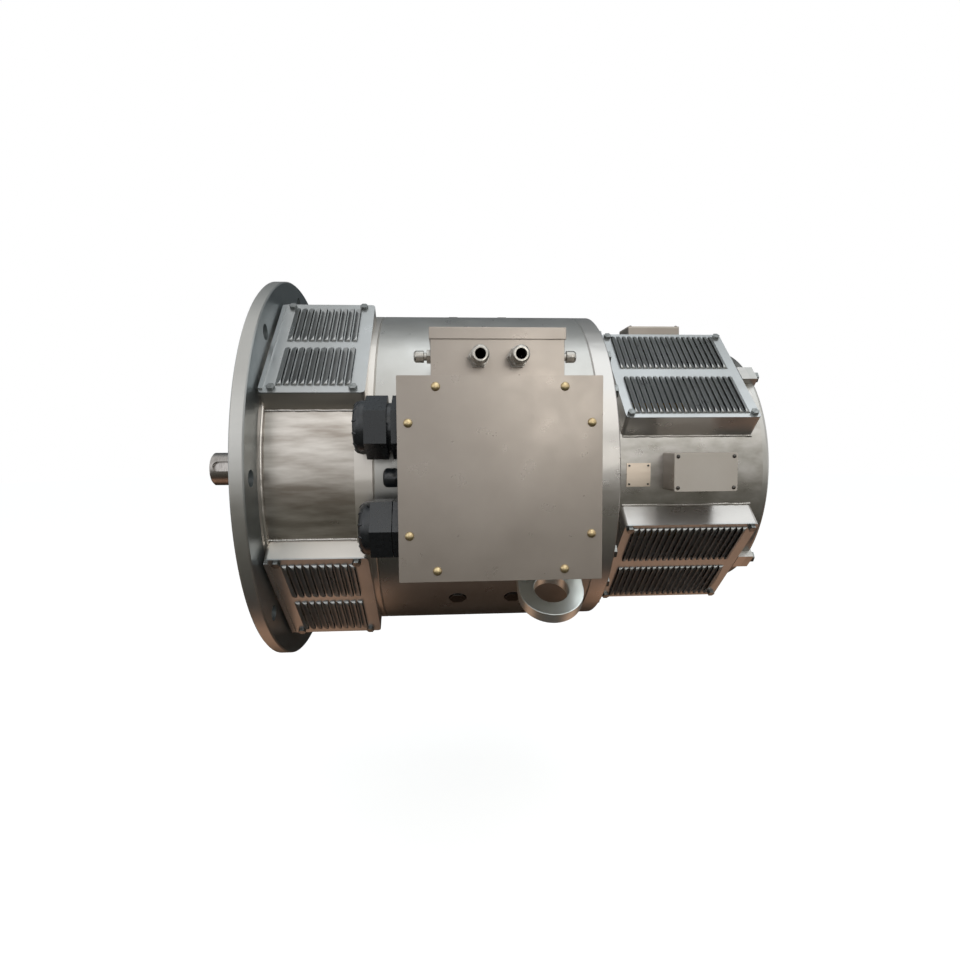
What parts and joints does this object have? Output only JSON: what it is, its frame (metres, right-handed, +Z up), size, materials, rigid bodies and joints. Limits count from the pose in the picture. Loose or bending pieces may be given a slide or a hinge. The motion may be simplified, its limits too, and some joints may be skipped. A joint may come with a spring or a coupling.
{
  "type": "flange-mounted dc motor",
  "caption": "Flange-mounted direct-current motor: keyed shaft, smooth round yoke, louvred covers at both ends, side terminal box with cable glands, lifting lugs.",
  "frame": {"origin": "centre of the mounting flange's face, on the shaft axis", "axes": "+X along the shaft from the mounting face into the motor, so the shaft end points to -X; +Z up; the terminal box is on the -Y side"},
  "size_m": [0.953, 0.706, 0.66],
  "materials": {
    "silver_enamel": "silver-grey enamel, semi-gloss",
    "box_enamel": "warm grey enamel, satin",
    "zinc_steel": "yellow-passivated zinc plating",
    "black_steel": "black oxide",
    "machined_steel": "turned and ground",
    "bearing_steel": "ground",
    "black_nylon": "moulded, satin",
    "nickel_brass": "nickel plated",
    "seal_rubber": "moulded",
    "moulded_board": "moulded insulating board",
    "stud_brass": "machined",
    "bare_plate": "bare, brushed",
    "pole_steel": "stacked laminations",
    "coil_copper": "varnished copper winding",
    "commutator_copper": "turned copper",
    "cast_aluminium": "as cast",
    "carbon": "pressed carbon"
  },
  "bodies": {
    "housing": {"aux_box": "box_enamel", "aux_box_lid": "box_enamel", "aux_gland_bodies": "nickel_brass", "aux_gland_nuts": "nickel_brass", "aux_side_glands": "nickel_brass", "blanking_plug": "black_nylon", "brush_arms": "stud_brass", "brush_rocker": "cast_aluminium", "brushes": "carbon", "cap_screws": "zinc_steel", "cover_bolts": "black_steel", "d_bearing_cap": "silver_enamel", "d_bearing_outer_ring": "bearing_steel", "d_bearing_rollers": "bearing_steel", "d_end_shield": "silver_enamel", "d_louvre_cover_1": "silver_enamel", "d_louvre_cover_2": "silver_enamel", "d_louvre_cover_3": "silver_enamel", "d_louvre_cover_4": "silver_enamel", "end_plate": "silver_enamel", "field_coils": "coil_copper", "gland_bodies": "black_nylon", "gland_nuts": "black_nylon", "gland_seals": "seal_rubber", "interpole_coils": "coil_copper", "interpoles": "pole_steel", "junction_boxes": "silver_enamel", "junction_covers": "box_enamel", "junction_glands": "nickel_brass", "junction_screws": "zinc_steel", "lifting_lug_1": "silver_enamel", "lifting_lug_2": "silver_enamel", "main_poles": "pole_steel", "mounting_flange": "silver_enamel", "n_bearing_balls": "bearing_steel", "n_bearing_cap": "silver_enamel", "n_bearing_outer_ring": "bearing_steel", "n_end_shield": "silver_enamel", "n_louvre_cover_1": "silver_enamel", "n_louvre_cover_2": "silver_enamel", "n_louvre_cover_3": "silver_enamel", "n_louvre_cover_4": "silver_enamel", "nameplate": "bare_plate", "nameplate_rivets": "bare_plate", "pole_bolts": "zinc_steel", "shield_bolts": "zinc_steel", "terminal_board": "moulded_board", "terminal_box": "box_enamel", "terminal_box_bolts": "zinc_steel", "terminal_box_cover": "box_enamel", "terminal_box_gasket": "seal_rubber", "terminal_studs": "stud_brass", "yoke": "silver_enamel"},
    "rotor": {"shaft": "machined_steel", "armature_core": "pole_steel", "armature_winding": "coil_copper", "commutator": "commutator_copper", "fan": "cast_aluminium", "d_bearing_inner_ring": "bearing_steel", "n_bearing_inner_ring": "bearing_steel"}
  },
  "joints": [
    {"name": "rotor_spin", "type": "hinge", "parent": "housing", "child": "rotor", "pos_m": [0, 0, 0], "axis": [1, 0, 0], "continuous": true}
  ]
}
